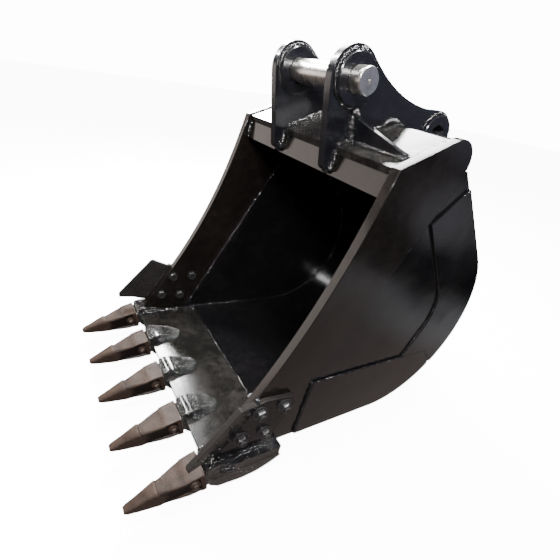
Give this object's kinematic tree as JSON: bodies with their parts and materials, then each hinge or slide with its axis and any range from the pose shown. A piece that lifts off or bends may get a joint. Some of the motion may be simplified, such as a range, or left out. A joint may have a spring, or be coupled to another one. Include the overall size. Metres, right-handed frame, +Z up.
{
  "type": "excavator bucket",
  "caption": "Welded digging bucket with hinge ears, a bare steel hinge pin, bolted side cutters and replaceable teeth on adapters.",
  "frame": {"origin": "middle of the base: the centre of the bounding box, on the plane that the adapters' legs and the heel stand on", "axes": "+X to the bucket's right across its width, +Y from the tooth tips back to the heel, +Z up as it stands on the ground with the mouth facing forwards and up"},
  "size_m": [1.033, 1.5328, 1.377],
  "materials": {
    "gloss_paint": "high gloss black enamel over welded plate",
    "edge_paint": "thin brownish black gloss enamel",
    "cast_paint": "satin black dipped casting",
    "bolt_paint": "satin black",
    "pin_steel": "bare turned bar",
    "pin_steel_dull": "dull bare steel"
  },
  "bodies": {
    "bucket": {"cutting_bar_right": "edge_paint", "cutting_bar_left": "edge_paint", "side_plate_right": "gloss_paint", "side_plate_left": "gloss_paint", "heel_doubler_right": "gloss_paint", "heel_doubler_left": "gloss_paint", "bottom_wear_plate_right": "gloss_paint", "bottom_wear_plate_left": "gloss_paint", "bucket_shell": "gloss_paint", "lip_plate": "gloss_paint", "top_plate": "gloss_paint", "torque_tube": "gloss_paint", "front_band": "edge_paint", "heel_wear_strip_1": "gloss_paint", "heel_wear_strip_2": "gloss_paint", "heel_wear_strip_3": "gloss_paint", "ear_right": "gloss_paint", "ear_left": "gloss_paint", "front_boss_right": "gloss_paint", "front_boss_left": "gloss_paint", "rear_boss_right": "gloss_paint", "rear_boss_left": "gloss_paint", "gusset_rib": "gloss_paint", "adapter_1": "cast_paint", "tooth_1": "cast_paint", "tooth_pin_1": "pin_steel_dull", "adapter_2": "cast_paint", "tooth_2": "cast_paint", "tooth_pin_2": "pin_steel_dull", "adapter_3": "cast_paint", "tooth_3": "cast_paint", "tooth_pin_3": "pin_steel_dull", "adapter_4": "cast_paint", "tooth_4": "cast_paint", "tooth_pin_4": "pin_steel_dull", "adapter_5": "cast_paint", "tooth_5": "cast_paint", "tooth_pin_5": "pin_steel_dull", "side_cutter_right": "cast_paint", "side_cutter_left": "cast_paint", "cutter_bolt_right_1": "bolt_paint", "cutter_nut_right_1": "bolt_paint", "cutter_bolt_right_2": "bolt_paint", "cutter_nut_right_2": "bolt_paint", "cutter_bolt_right_3": "bolt_paint", "cutter_nut_right_3": "bolt_paint", "cutter_bolt_right_4": "bolt_paint", "cutter_nut_right_4": "bolt_paint", "cutter_bolt_left_1": "bolt_paint", "cutter_nut_left_1": "bolt_paint", "cutter_bolt_left_2": "bolt_paint", "cutter_nut_left_2": "bolt_paint", "cutter_bolt_left_3": "bolt_paint", "cutter_nut_left_3": "bolt_paint", "cutter_bolt_left_4": "bolt_paint", "cutter_nut_left_4": "bolt_paint"},
    "pin": {"hinge_pin": "pin_steel"}
  },
  "joints": [
    {"name": "pin_slide", "type": "slide", "parent": "bucket", "child": "pin", "axis": [1, 0, 0], "range_m": [-0.366, 0.366]}
  ]
}
